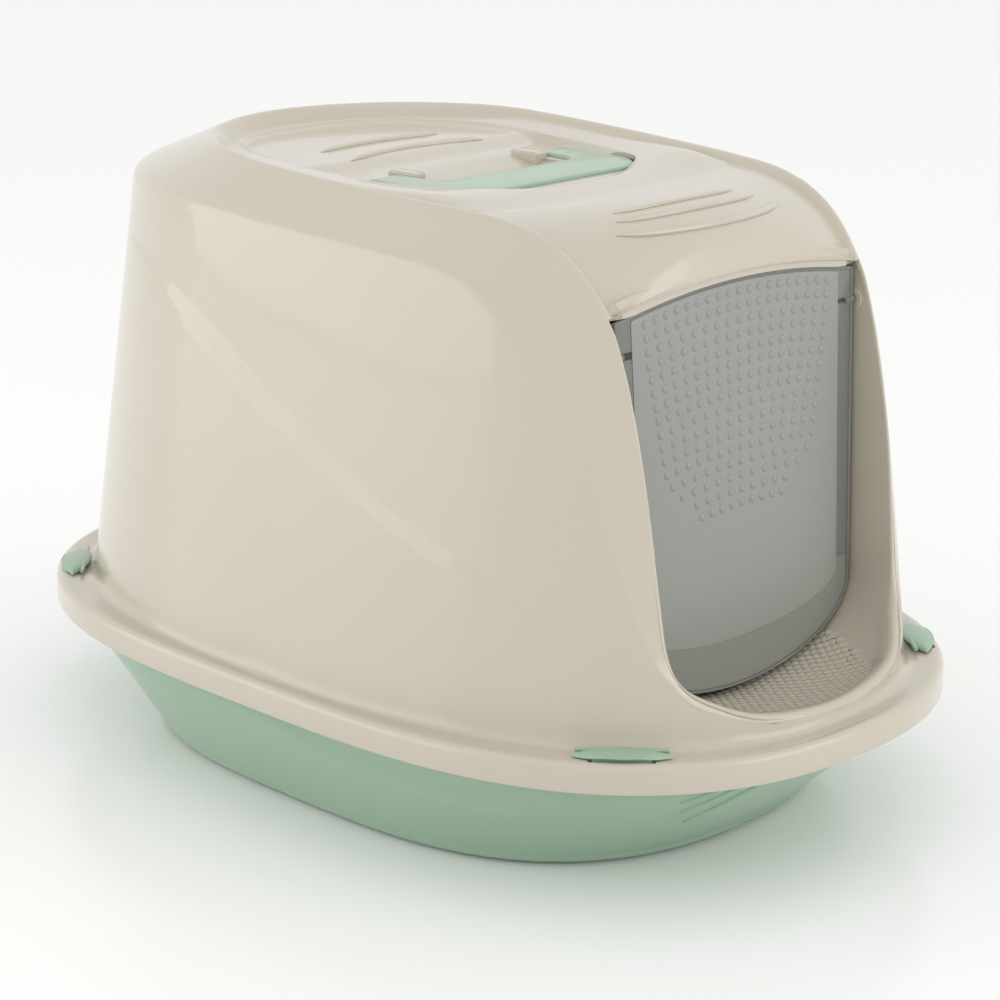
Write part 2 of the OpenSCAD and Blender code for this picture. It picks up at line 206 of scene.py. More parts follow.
def recess_height(x, y):
    """Height of the roof's recess: the pocket's floor, its rounded edge and the ledge round it."""
    x, y = np.asarray(x, float), np.asarray(y, float)
    out = outside_pocket(x, y)
    back = smoothstep(-10, 90, y)
    floor = ROOF_FLOOR_Z + 4.2 * smoothstep(30, 52, y)
    ledge = ROOF_FLOOR_Z + 3.4 + 3.0 * back + 0.10 * np.clip(out, 0, 30)
    rise = smoothstep(-2.2, 2.2, out) * smoothstep(-112, -62, y)
    return floor + (ledge - floor) * rise


def dish_depth(x, y):
    """Depth of the finger dish behind the grip: deep under the grip, with a long slope at its back."""
    side = smoothstep(54, 45, np.abs(x))
    back = 30 - 12 * (np.abs(x) / 54) ** 2
    return 8.0 * side * (1 - smoothstep(-22, back, y)) * smoothstep(-52, -44, y)


def roof_edge():
    """Foot of the recess wall for each roof column, which starts shallow at the doorway's corner."""
    rows = RIDGE[DOOR_TOP:]
    least = np.interp(rows[:, 2], (300, 312), (0.8, 5))
    ahead = np.vstack([RIDGE[DOOR_TOP + 1:], RIDGE[-1:]])
    along = ahead - RIDGE[DOOR_TOP - 1:LAST]
    out = unit(np.column_stack([along[:, 1], -along[:, 0]]))
    edge = rows[:, :3].copy()
    depth = np.maximum(rows[:, 2] - ROOF_FLOOR_Z, least)
    for _ in range(3):
        move = 3 + 0.45 * depth
        edge[:, 0] = np.maximum(rows[:, 0] - out[:, 0] * move, 0)
        edge[:, 1] = rows[:, 1] - out[:, 1] * move
        depth = np.maximum(rows[:, 2] - recess_height(edge[:, 0], edge[:, 1]), least)
    edge[:, 2] = rows[:, 2] - depth
    edge[-1, 0] = 0
    return edge


ROOF_EDGE = roof_edge()
# The slope above the door on the centre line: y and height, from the doorway's head to the roof
BROW = curve_through([(-192.5, 309), (-189.5, 318.5), (-185, 327), (-178, 332.8), (-163, 338.2),
                      (-147, 341.0), (-130, 341.7), (-110, 341.8)], 90)
HEAD_Y, HEAD_Z = BROW[0]


def brow_end(x):
    """Where the slope ends and the recess begins: a line that curves back to both sides."""
    return -128 + 20 * (np.abs(x) / 80) ** 2


def roof_height(x, y):
    """Height of the roof at a place: the crowned slope above the door, then the recess."""
    x, y = np.asarray(x, float), np.asarray(y, float)
    edge_x = np.interp(y, ROOF_EDGE[:, 1], ROOF_EDGE[:, 0])
    edge_z = np.interp(y, ROOF_EDGE[:, 1], ROOF_EDGE[:, 2])
    t = np.clip(np.abs(x) / np.maximum(edge_x, 1), 0, 1)
    slope = edge_z + (np.interp(y, BROW[:, 0], BROW[:, 1]) - edge_z) * (1 - t * t)
    ahead = smoothstep(1.6, -1.6, y - brow_end(x))
    recess = recess_height(x, y)
    return recess + (slope - recess) * ahead - dish_depth(x, y)


# ---- Meshes ----
def quads(rows, columns, wrap=True, start=0):
    """Faces of a grid of rows of vertices, each row a closed loop of columns unless wrap is off."""
    i, j = np.meshgrid(np.arange(rows - 1), np.arange(columns if wrap else columns - 1), indexing="ij")
    n = (j + 1) % columns
    a, b = i * columns + j, i * columns + n
    c, d = (i + 1) * columns + n, (i + 1) * columns + j
    return (np.stack([a, b, c, d], -1).reshape(-1, 4) + start).tolist()


def mesh_from(name, points, faces):
    """A mesh with its faces turned outwards, in metres."""
    mesh = bpy.data.meshes.new(name)
    mesh.from_pydata((np.asarray(points) * MM).tolist(), [], faces)
    work = bmesh.new()
    work.from_mesh(mesh)
    bmesh.ops.remove_doubles(work, verts=work.verts, dist=1e-7)
    bmesh.ops.recalc_face_normals(work, faces=work.faces)
    work.to_mesh(mesh)
    work.free()
    return mesh


def joined(shells):
    """One (points, faces) from several."""
    points, faces, start = [], [], 0
    for p, f in shells:
        points.append(np.asarray(p, float))
        faces += [[v + start for v in face] for face in f]
        start += len(p)
    return np.vstack(points), faces


def loft(rings, cap_first=True, cap_last=True):
    """Closed rings of equal length, skinned in order, with flat caps."""
    n = len(rings[0])
    faces = quads(len(rings), n)
    if cap_first:
        faces.append(list(range(n)))
    if cap_last:
        faces.append([(len(rings) - 1) * n + k for k in range(n)])
    return np.vstack(rings), faces


def sweep(path, radii, sides=10, squash=1.0, up=(0, 0, 1)):
    """A tube along a path whose radius varies. Its ends are rounded off by the last radii."""
    path = np.asarray(path, float)
    tangent = unit(np.gradient(path, axis=0))
    side = unit(np.cross(tangent, up))
    normal = np.cross(side, tangent)
    turn = np.linspace(0, 2 * math.pi, sides, endpoint=False)
    rings = [p + r * (np.cos(turn)[:, None] * s + squash * np.sin(turn)[:, None] * n)
             for p, r, s, n in zip(path, radii, side, normal)]
    return loft(rings)


def blunt(count, radius, tip=0.12):
    """Radii of a rib that tapers to nearly nothing at both ends."""
    u = np.linspace(0, 1, count)
    return radius * np.maximum(np.clip(np.sin(math.pi * u) * 3, 0, 1) ** 0.6, tip)


def block(low, high):
    """Corners and faces of a box, for cutting."""
    (a, b, c), (d, e, f) = low, high
    points = [(x, y, z) for z in (c, f) for x, y in ((a, b), (d, b), (d, e), (a, e))]
    return loft([np.array(points[:4], float), np.array(points[4:], float)])


def rod(start, end, radius, sides=32, bevel=0.3):
    """A pin from start to end with bevelled ends."""
    start, end = np.array(start, float), np.array(end, float)
    axis = unit(end - start)
    side = unit(np.cross(axis, (0.3, 0.2, 1)))
    up = np.cross(axis, side)
    turn = np.linspace(0, 2 * math.pi, sides, endpoint=False)[:, None]
    circle = np.cos(turn) * side + np.sin(turn) * up
    stations = ((start, radius - bevel), (start + axis * bevel, radius),
                (end - axis * bevel, radius), (end, radius - bevel))
    return loft([place + r * circle for place, r in stations])


def outward(outline):
    """Unit normals of a closed plan outline that runs anticlockwise."""
    along = np.roll(outline, -1, 0) - np.roll(outline, 1, 0)
    return unit(np.column_stack([along[:, 1], -along[:, 0]]))


def resample(outline, spacing):
    """A closed outline with even points."""
    loop = np.vstack([outline, outline[:1]])
    length = np.concatenate([[0], np.cumsum(np.linalg.norm(np.diff(loop, axis=0), axis=1))])
    at = np.linspace(0, length[-1], max(12, int(length[-1] / spacing)), endpoint=False)
    return np.column_stack([np.interp(at, length, loop[:, k]) for k in (0, 1)])


def plate_profile(low, high, radius, steps=4):
    """(inset, height) pairs round the edge of a plate, from its underside to its top."""
    turn = np.radians(np.linspace(0, 90, steps + 1))
    under = [(radius * (1 - math.sin(a)), low + radius * (1 - math.cos(a))) for a in turn]
    over = [(radius * (1 - math.cos(a)), high - radius * (1 - math.sin(a))) for a in turn]
    return under + over


def plate(outline, profile):
    """A plate with the given outline and edge profile, flat above and below."""
    normals = outward(outline)
    rings = [np.column_stack([outline - normals * inset, np.full(len(outline), z)]) for inset, z in profile]
    return loft(rings)


def turned(points, axis, pivot, angle):
    """Points turned about an axis through pivot."""
    c, s = math.cos(angle), math.sin(angle)
    axis = np.array(axis, float)
    p = np.asarray(points, float) - pivot
    along = (p @ axis)[:, None] * axis
    return along + (p - along) * c + np.cross(axis, p) * s + pivot


def combine(target, tool, operation):
    """Adds or cuts tool, and removes it."""
    modifier = target.modifiers.new("combine", "BOOLEAN")
    modifier.operation = operation
    modifier.solver = "MANIFOLD"
    modifier.object = tool
    made = bpy.data.meshes.new_from_object(target.evaluated_get(bpy.context.evaluated_depsgraph_get()))
    target.modifiers.clear()
    target.data = made
    bpy.data.objects.remove(tool)


def thing(name, shells):
    obj = bpy.data.objects.new(name, mesh_from(name, *joined(shells)))
    bpy.context.scene.collection.objects.link(obj)
    return obj


def finish_piece(obj, material, body, nodes=(), sharp=35):
    """Shading, material, body and the CAD nodes that a piece stands for."""
    obj.data.materials.clear()
    for one in material if isinstance(material, (list, tuple)) else [material]:
        obj.data.materials.append(one)
    obj.data.shade_smooth()
    obj.data.set_sharp_from_angle(angle=math.radians(sharp))
    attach(obj, body)
    if nodes:
        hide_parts(*nodes)
    return obj


# ---- Materials ----
def linear(hex_colour):
    """Linear RGBA of an sRGB hex colour."""
    values = [int(hex_colour[i:i + 2], 16) / 255 for i in (1, 3, 5)]
    return [v / 12.92 if v <= 0.04045 else ((v + 0.055) / 1.055) ** 2.4 for v in values] + [1.0]


def add_node(tree, kind, settings=None, **sockets):
    """Adds a node, with its settings and its sockets' values or links. _ stands for a space."""
    node = tree.nodes.new(kind)
    for key, value in (settings or {}).items():
        setattr(node, key, value)
    for key, value in sockets.items():
        name = key.replace("_", " ")
        socket = node.inputs[int(name[1:])] if name[0] == "i" and name[1:].isdigit() else node.inputs[name]
        if isinstance(value, bpy.types.NodeSocket):
            tree.links.new(value, socket)
        else:
            socket.default_value = value
    return node


def new_material(name):
    """An empty material with its output node, and its node tree."""
    material = bpy.data.materials.new(name)
    material.use_nodes = True
    material.node_tree.nodes.clear()
    return material, material.node_tree


def moulded_polypropylene(name, colour, shade, roughness, coat, grain_mm, grain_depth_mm):
    """Injection-moulded polypropylene: a satin gloss with the soft ripple of the moulded skin, a
    faint change of tone over the panels and gloss that varies a little with the flow of the melt."""
    material, tree = new_material(name)
    place = add_node(tree, "ShaderNodeTexCoord").outputs["Object"]
    flow = add_node(tree, "ShaderNodeTexNoise", Vector=place, Scale=1 / (90 * MM), Detail=2.0)
    skin = add_node(tree, "ShaderNodeTexNoise", Vector=place, Scale=1 / (grain_mm * MM), Detail=3.0,
                    Roughness=0.55)
    tone = add_node(tree, "ShaderNodeMix", {"data_type": "RGBA"}, i0=flow.outputs["Fac"])
    tone.inputs[6].default_value = linear(shade)
    tone.inputs[7].default_value = linear(colour)
    gloss = add_node(tree, "ShaderNodeMapRange", Value=flow.outputs["Fac"])
    gloss.inputs["To Min"].default_value = roughness - 0.02
    gloss.inputs["To Max"].default_value = roughness + 0.03
    bump = add_node(tree, "ShaderNodeBump", Height=skin.outputs["Fac"], Distance=grain_depth_mm * MM,
                    Strength=0.6)
    shader = add_node(tree, "ShaderNodeBsdfPrincipled", Base_Color=tone.outputs[2],
                      Roughness=gloss.outputs[0], IOR=1.49, Normal=bump.outputs["Normal"],
                      Coat_Weight=coat, Coat_Roughness=0.06)
    add_node(tree, "ShaderNodeOutputMaterial", Surface=shader.outputs[0])
    return material


def smoked_styrene(name, colour, roughness, transmission, mist_mm):
    """Smoked clear styrene: a glossy tinted sheet, with a fine mist where it is frosted."""
    material, tree = new_material(name)
    place = add_node(tree, "ShaderNodeTexCoord").outputs["Object"]
    mist = add_node(tree, "ShaderNodeTexNoise", Vector=place, Scale=1 / (mist_mm * MM), Detail=3.0)
    gloss = add_node(tree, "ShaderNodeMapRange", Value=mist.outputs["Fac"])
    gloss.inputs["To Min"].default_value = max(roughness - 0.03, 0.02)
    gloss.inputs["To Max"].default_value = roughness + 0.04
    shader = add_node(tree, "ShaderNodeBsdfPrincipled", Base_Color=linear(colour),
                      Roughness=gloss.outputs[0], IOR=1.5, Transmission_Weight=transmission)
    add_node(tree, "ShaderNodeOutputMaterial", Surface=shader.outputs[0])
    return material


def carbon_foam(name, colour, cell_highlight):
    """Open-cell foam soaked with active carbon: near black, with cells a millimetre or two wide. The lighter
    colour towards each cell's border is a painted highlight on the lit cell walls.
    """
    material, tree = new_material(name)
    place = add_node(tree, "ShaderNodeTexCoord").outputs["Object"]
    cells = add_node(tree, "ShaderNodeTexVoronoi", Vector=place, Scale=1 / (1.8 * MM))
    # Painted highlight: the colour runs from the foam's black to a lighter grey towards each cell's border,
    # standing in for light on the cell walls
    tone = add_node(tree, "ShaderNodeMix", {"data_type": "RGBA"}, i0=cells.outputs["Distance"])
    tone.inputs[6].default_value = linear(colour)
    tone.inputs[7].default_value = linear(cell_highlight)
    bump = add_node(tree, "ShaderNodeBump", Height=cells.outputs["Distance"], Distance=0.8 * MM)
    shader = add_node(tree, "ShaderNodeBsdfPrincipled", Base_Color=tone.outputs[2], Roughness=0.95,
                      Normal=bump.outputs["Normal"])
    add_node(tree, "ShaderNodeOutputMaterial", Surface=shader.outputs[0])
    return material


def studio_paper(name, colour):
    """Matt white studio paper with a slight sheen, so that the object's foot shows faintly in it."""
    material, tree = new_material(name)
    place = add_node(tree, "ShaderNodeTexCoord").outputs["Object"]
    fibre = add_node(tree, "ShaderNodeTexNoise", Vector=place, Scale=1 / (8 * MM), Detail=2.0)
    gloss = add_node(tree, "ShaderNodeMapRange", Value=fibre.outputs["Fac"])
    gloss.inputs["To Min"].default_value = 0.22
    gloss.inputs["To Max"].default_value = 0.26
    shader = add_node(tree, "ShaderNodeBsdfPrincipled", Base_Color=linear(colour),
                      Roughness=gloss.outputs[0], IOR=1.4)
    add_node(tree, "ShaderNodeOutputMaterial", Surface=shader.outputs[0])
    return material


_made = {}


def finish(key):
    """The material of a finish, made once from the colours in the panel."""
    colours = bpy.context.scene.litter_box_colours
    makers = {
        "hood": lambda: moulded_polypropylene(
            "beige_polypropylene_gloss", colours.hood, colours.hood_shade, 0.24, 0.6, 1.6, 0.02),
        "tray": lambda: moulded_polypropylene(
            "green_polypropylene_satin", colours.tray, colours.tray_shade, 0.30, 0.4, 1.6, 0.02),
        "fittings": lambda: moulded_polypropylene(
            "green_polypropylene_gloss", colours.fittings, colours.fittings_shade, 0.28, 0.3, 1.2, 0.02),
        "clear": lambda: smoked_styrene("smoked_styrene_clear", colours.door_clear, 0.05, 0.55, 30),
        "frosted": lambda: smoked_styrene("smoked_styrene_frosted", colours.door, 0.42, 0.12, 2),
        # The door's lower margin gets a darker grey: a painted reflection, standing in for the dark
        # reflection along the door's lower edge
        "margin": lambda: smoked_styrene("smoked_styrene_painted_reflection", colours.door_margin_painted_reflection, 0.12, 0.1, 12),
        "foam": lambda: carbon_foam("carbon_foam", colours.foam, colours.foam_cell_highlight),
        "paper": lambda: studio_paper("white_studio_paper", colours.floor),
    }
    if key not in _made:
        _made[key] = makers[key]()
    return _made[key]


# ---- Properties ----
def length(name, description, millimetres):
    return bpy.props.FloatProperty(name=name, description=description, default=millimetres * MM,
                                   unit="LENGTH", min=0.0)


def tint(name, description, hex_colour):
    return bpy.props.StringProperty(name=name, description=description + ", as an sRGB hex value",
                                    default=hex_colour)


class LitterBoxSizes(bpy.types.PropertyGroup):
    """Sizes of the details that the frame doesn't fix."""
    roof_lip: length("Roof lip", "Rounding of the ridge round the roof", 4.2)
    pillar_lip: length("Pillar lip", "Rounding of the ridge beside the door", 3.0)
    sill_lip: length("Sill lip", "Rounding of the ridge in front of the sill", 7.0)
    foot_fillet: length("Foot fillet", "Fillet between the flange and the wall", 8.0)
    gutter: length("Gutter", "Depth of the gutter behind the rim's bead", 1.1)
    swoosh: length("Swoosh depth", "Depth of the step that sweeps down each side wall", 1.9)
    tread_pitch: length("Tread pitch", "Spacing of the non-slip bumps on the sill", 5.7)
    dot_pitch: length("Dot pitch", "Spacing of the dots on the door", 8.2)
    dot_radius: length("Dot radius", "Radius of a dot on the door", 2.35)
    dot_height: length("Dot height", "Height of a dot on the door", 1.0)


class LitterBoxColours(bpy.types.PropertyGroup):
    """Colours of the mouldings and of the floor."""
    hood: tint("Hood", "Beige of the hood", "#C8C0AF")
    hood_shade: tint("Hood, darker", "Darker tone of the hood", "#C3BAA9")
    tray: tint("Tray", "Green of the tray", "#98B49C")
    tray_shade: tint("Tray, darker", "Darker tone of the tray", "#93AF97")
    fittings: tint("Fittings", "Green of the handle and the clips", "#9CB8A0")
    fittings_shade: tint("Fittings, darker", "Darker tone of the handle and the clips", "#97B39B")
    door: tint("Door", "Grey of the frosted panel", "#9FA09B")
    door_clear: tint("Door edge", "Smoke tint of the clear edge", "#A6A7A1")
    # The darker grey of the door's lower margin is a painted reflection
    door_margin_painted_reflection: tint("Door margin", "Lower margin of the door, darkened as a painted reflection", "#8E8F89")
    foam: tint("Filter", "Carbon foam", "#1B1B1C")
    # The filter-cells colour is a painted highlight: the lit walls of the foam's cells
    foam_cell_highlight: tint("Filter cells", "Lit walls of the foam's cells", "#3A3A3B")
    floor: tint("Floor", "Studio floor", "#FCFCFB")


def sizes(name):
    """A size from the panel, in millimetres."""
    return getattr(bpy.context.scene.litter_box_sizes, name) / MM


# ---- Hood ----
def doorway_edge(rows):
    """Edge of the doorway behind each column of the front."""
    x, z_ridge = rows[:, 0], rows[:, 2]
    low = DOOR_ROUND_Z + 3 - (DOOR_ROUND_Z + 3 - DOOR_BOTTOM_Z + 4.4) * np.sqrt(
        np.maximum(1 - (x / 96.5) ** 2, 0))
    z = np.where(z_ridge > 150, z_ridge - 10 * (305 - z_ridge) / 150, low)
    y = DOOR_AXIS.y + (z - DOOR_AXIS.z) * math.tan(DOOR_LEAN) + 12
    return np.column_stack([x * 0.99, y, z])


def channel_edge():
    return np.vstack([doorway_edge(RIDGE[:DOOR_TOP + 1]), ROOF_EDGE[1:]])


SWOOSH = curve_through([(-290, 96), (-206, 131), (-158, 156), (-98, 178), (-24, 212), (44, 248),
                        (120, 283), (177, 299), (290, 330)], 200)


CHANNEL_RINGS = 13


def swoosh_line():
    """Heights on the wall, for each column, of the crease that sweeps down each side and of the
    upper edge of the thin crescent above it."""
    hs = np.linspace(0, 1, 300)
    places = np.array([wall(h) for h in hs])
    above = places[:, :, 2] - np.interp(places[:, :, 1], SWOOSH[:, 0], SWOOSH[:, 1])
    crease = hs[np.argmax(above > 0, axis=0)]
    crease = np.clip(np.where(above[-1] > 0, crease, 0.8), 0.25, 0.8)
    crease = np.convolve(np.pad(crease, 12, mode="edge"), np.hanning(25) / np.hanning(25).sum(), "valid")
    y = wall(crease)[:, 1]
    along = smoothstep(-214, -120, y) * smoothstep(190, 90, y)
    return crease, crease + (0.6 + 8.0 * along) / np.maximum(RIDGE[:, 2] - FLANGE_Z, 12), along


def wall_height_at(distance):
    """Height of the wall at a distance below the ridge, for each column."""
    hs = np.linspace(0, 1, 400)
    gap = np.array([np.linalg.norm(wall(h) - RIDGE[:, :3], axis=1) for h in hs])
    near = gap <= distance
    return hs[np.argmax(near, axis=0)]


def hood_profile():
    """Half rings of the hood's outer skin, from the rim's lower edge to the channel's edge."""
    bead = 4.0
    rings = [rim_ring(i, SKIRT_Z + z) for i, z in ((0.7, 0), (0.2, 0.2), (0, 0.8), (0, 6))]
    for a in np.radians(np.linspace(0, 90, 8)):
        rings.append(rim_ring(bead * (1 - math.cos(a)), FLANGE_Z - bead * (1 - math.sin(a))))
    crest = rings[-1]

    wall_length = np.linalg.norm(wall(0) - RIDGE[:, :3], axis=1)
    room = np.linalg.norm(crest[:, :2] - FOOT, axis=1)
    out = unit(np.column_stack([crest[:, :2] - FOOT, np.zeros(len(FOOT))]))
    fillet = np.minimum(sizes("foot_fillet"), 0.42 * wall_length)
    gutter_at = np.column_stack([FOOT, np.full(len(FOOT), FLANGE_Z - sizes("gutter"))])
    outer_edge = gutter_at + out * np.minimum(fillet, 0.7 * room)[:, None]
    rings += bend(crest, crest - out * 2.2, outer_edge, 4)
    rings.append(outer_edge)
    low = np.minimum(fillet / wall_length, 0.4)
    rings += bend(outer_edge, gutter_at, wall(low), 8)

    pillar = smoothstep(112, 135, RIDGE[:, 2])
    roof = smoothstep(318, 345, RIDGE[:, 2])
    ridge_lip = sizes("pillar_lip") * (1 - roof) + sizes("roof_lip") * roof
    lip = sizes("sill_lip") * (1 - pillar) + ridge_lip * pillar
    lip = np.minimum(lip, 0.5 * wall_length)
    high = wall_height_at(lip)
    inwards = unit(np.column_stack([-(FOOT - RIDGE[:, :2]), np.zeros(len(FOOT))]))
    crease, brink, along = swoosh_line()
    crease, brink = np.minimum(crease, high - 0.04), np.minimum(brink, high - 0.02)
    fine = 0.35 / np.maximum(RIDGE[:, 2] - FLANGE_Z, 12)
    step = sizes("swoosh") * along
    below, band, over = crease - fine, brink - fine, brink + fine
    for u in np.linspace(0, 1, 26):
        rings.append(wall(low + (below - low) * u))
    for u in np.linspace(0, 1, 5):
        ring = wall(crease + fine + (band - crease - fine) * u)
        rings.append(ring + inwards * (step * (0.04 + 0.92 * u))[:, None])
    for u in np.linspace(0, 1, 30):
        fade = 1 - smoothstep(0, 0.75, u)
        rings.append(wall(over + (high - over) * u) + inwards * (step * fade)[:, None])

    edge = channel_edge()
    ridge = RIDGE[:, :3]
    room_in = 0.8 * np.linalg.norm(edge - ridge, axis=1)
    into = ridge + unit(edge - ridge) * np.minimum(lip, room_in)[:, None]
    rings += bend(rings[-1], ridge, into, 8)
    sill = smoothstep(125, 96, RIDGE[:, 2])
    foot_turn = np.where(np.arange(len(RIDGE)) >= DOOR_TOP, 0.72, 1.0)
    for v in np.linspace(0, 1, CHANNEL_RINGS)[:-1]:
        ring = into + (edge - into) * (v * foot_turn)[:, None]
        dip = 5.0 * np.sin(math.pi * v ** 0.6) * sill
        rings.append(ring - np.column_stack([np.zeros((len(dip), 2)), dip]))
    rings.append(edge)
    return rings


def sparse_profile():
    """A few half rings that follow the outer skin, for the inner one."""
    channel = hood_profile()[-CHANNEL_RINGS:]
    rings = [rim_ring(0, SKIRT_Z), rim_ring(0, FLANGE_Z - 4), rim_ring(4, FLANGE_Z - 0.5)]
    rings += [wall(h) for h in (0, 0.06, 0.2, 0.35, 0.5, 0.65, 0.78, 0.86, 0.92, 0.97)]
    return rings + [RIDGE[:, :3]] + channel[3:-1:3] + [channel[-1]]


def inner_skin():
    """Closed rings of the hood's inner skin, one wall thickness in."""
    rings = np.array([closed(ring) for ring in sparse_profile()])
    along = np.roll(rings, -1, 1) - np.roll(rings, 1, 1)
    across = np.gradient(rings, axis=0)
    inward = unit(np.cross(across, along))
    inward[0] = unit(rings[0] * [-1, -0.6, 0])
    return rings + inward * WALL


HEAD_TURN = ((15.6, 0.0), (1.7, 0.0), (0.5, 0.45), (0.0, 1.6))


def roof_column(row):
    """The column from which a row of the roof starts. The first rows turn round the door's head."""
    return DOOR_TOP + max(row - len(HEAD_TURN) + 1, 0)


def roof_rows(edge_ring, strips, drop):
    """Rows of the roof between the left and the right channel edge, without their ends."""
    t = 1 - 2 * np.arange(1, strips) / strips
    ends = np.abs(t) ** 24
    rows = []
    for back, up in HEAD_TURN:
        a = edge_ring[DOOR_TOP]
        y = a[1] if back > 15 else HEAD_Y + back + drop
        z = a[2] + (HEAD_Z - a[2]) * (1 - t * t) + (up + drop) * (1 - ends)
        rows.append(np.column_stack([a[0] * t, np.full(strips - 1, y), z]))
    for k in range(DOOR_TOP + 1, LAST):
        a = edge_ring[k]
        x, y = a[0] * t, np.full(strips - 1, a[1])
        lift = a[2] - roof_height(a[0], a[1])
        rows.append(np.column_stack([x, y, roof_height(x, y - 0.8 * drop) - drop + (lift + drop) * ends]))
    return rows


def hood_shell():
    """The whole hood skin, outer and inner, as one closed surface."""
    outer = [closed(ring) for ring in hood_profile()]
    inner = list(inner_skin())
    strips = (120, 28)
    points, faces, at = [], [], {}
    start = 0
    for side, rings in enumerate((outer, inner)):
        faces += quads(len(rings), COLUMNS, start=start)
        points += rings
        at[side] = start + (len(rings) - 1) * COLUMNS
        start += len(rings) * COLUMNS
    first = len(outer) * COLUMNS
    for j in range(COLUMNS):
        n = (j + 1) % COLUMNS
        faces.append([j, n, first + n, first + j])
    edge_rows = {}
    for side, rings in enumerate((outer, inner)):
        rows = roof_rows(rings[-1], strips[side], side * WALL)
        count = strips[side]
        base = start
        points += rows
        start += len(rows) * (count - 1)

        def index(row, s, side=side, base=base, count=count):
            k = roof_column(row)
            if s == 0 or k == LAST:
                return at[side] + k
            if s == count:
                return at[side] + COLUMNS - k
            return base + row * (count - 1) + s - 1

        for row in range(len(rows)):
            for s in range(count):
                face = [index(row, s), index(row + 1, s), index(row + 1, s + 1), index(row, s + 1)]
                face = list(dict.fromkeys(face))
                if len(face) > 2:
                    faces.append(face)
        edge_rows[side] = [index(0, s) for s in range(count + 1)]
    # The doorway's edge: the sides and the sill are one to one, and the head has two densities
    for j in range(-DOOR_TOP, DOOR_TOP):
        a, b = j % COLUMNS, (j + 1) % COLUMNS
        faces.append([at[0] + a, at[0] + b, at[1] + b, at[1] + a])
    faces.append(edge_rows[0] + edge_rows[1][::-1])
    return np.vstack(points), faces


def roof_rib(half_length, end_y, centre_y, radius):
    """A rib that lies on the roof in an arc."""
    u = np.linspace(-1, 1, 41)
    x, y = half_length * u, centre_y + (end_y - centre_y) * u * u
    z = roof_height(x, y) + 0.1 * radius
    return sweep(np.column_stack([x, y, z]), blunt(41, radius), squash=0.7)


ROOF_RIBS = [(47.5, -145, -149, 1.9), (55, -154, -162, 2.1), (65, -163, -178, 2.3),
             (46, 80, 86, 2.4), (52, 48, 57, 2.4)]


def sill_point(rings, k, v):
    """Place on the sill: k counts columns from the centre and v runs from the lip to the doorway."""
    row = min(max(v, 0), 1) * (len(rings) - 1)
    i, f = min(int(row), len(rings) - 2), row - min(int(row), len(rings) - 2)
    sign = -1 if k < 0 else 1
    j = min(int(abs(k)), DOOR_TOP - 2)
    g = abs(k) - j
    p = [rings[i + a][j + b] for a in (0, 1) for b in (0, 1)]
    at = (p[0] * (1 - g) + p[1] * g) * (1 - f) + (p[2] * (1 - g) + p[3] * g) * f
    return at * [sign, 1, 1]


def dome(centre, normal, radius, height, sides=8, sink=0.4):
    """A low dome that stands on a surface and reaches a little into it."""
    normal = unit(np.array(normal, float))
    side = unit(np.cross(normal, (0.1, 0.9, 0.2)))
    up = np.cross(normal, side)
    turn = np.linspace(0, 2 * math.pi, sides, endpoint=False)[:, None]
    circle = np.cos(turn) * side + np.sin(turn) * up
    stations = ((radius, -sink), (radius, 0), (radius * 0.8, height * 0.55), (radius * 0.4, height * 0.93))
    rings = [centre + circle * r + normal * h for r, h in stations]
    points, faces = loft(rings, cap_last=False)
    tip = len(points)
    points = np.vstack([points, centre + normal * height])
    last = (len(rings) - 1) * sides
    faces += [[last + j, last + (j + 1) % sides, tip] for j in range(sides)]
    return points, faces


def tread_bumps(rings):
    """Rows of low bumps over the sill, each row set half a pitch along from the last."""
    pitch = sizes("tread_pitch")
    shells = []
    centre_line = [sill_point(rings, 0, v) for v in np.linspace(0, 1, 50)]
    depth = np.linalg.norm(np.diff(centre_line, axis=0), axis=1).sum()
    rows = int(depth / (pitch * 0.78))
    for row in range(rows):
        v = 0.1 + 0.86 * row / rows
        path = np.array([sill_point(rings, k, v) for k in np.linspace(0, 36, 145)])
        along = np.concatenate([[0], np.cumsum(np.linalg.norm(np.diff(path, axis=0), axis=1))])
        reach_out = 78 - 30 * (1 - v) ** 2
        for s in np.arange(pitch / 2 * (row % 2), reach_out, pitch):
            k = np.interp(s, along, np.linspace(0, 36, 145))
            for sign in (-1, 1) if s > 0 else (1,):
                here = sill_point(rings, sign * k, v)
                du = sill_point(rings, sign * k + 0.3, v) - here
                dv = sill_point(rings, sign * k, v + 0.02) - here
                normal = np.cross(du, dv) if sign > 0 or k == 0 else np.cross(dv, du)
                normal = normal * np.sign(normal[2])
                shells.append(dome(here, normal, pitch * 0.44, 0.5, sides=6))
    return shells


def clip_frames():
    """For each clip: its node, pivot, outward direction and direction along the rim."""
    frames = []
    for node in ("latch_front_left", "latch_front_right", "latch_rear_left", "latch_rear_right"):
        joint = JOINTS[node + "_rock"]
        along = np.array(joint["axis"], float)
        pivot = np.array(joint["pos_m"], float) / MM
        outwards = unit(np.array([along[1], -along[0], 0]))
        if outwards @ [pivot[0], pivot[1], 0] < 0:
            outwards = -outwards
        frames.append((node, pivot, outwards, np.cross([0, 0, 1], outwards)))
    return frames


def in_frame(points, pivot, outwards, along):
    """Points given along the rim, outwards and up, put in place round a clip's pivot."""
    p = np.asarray(points, float)
    return np.array([pivot[0], pivot[1], 0]) + p[:, :1] * along + p[:, 1:2] * outwards + p[:, 2:] * [0, 0, 1]


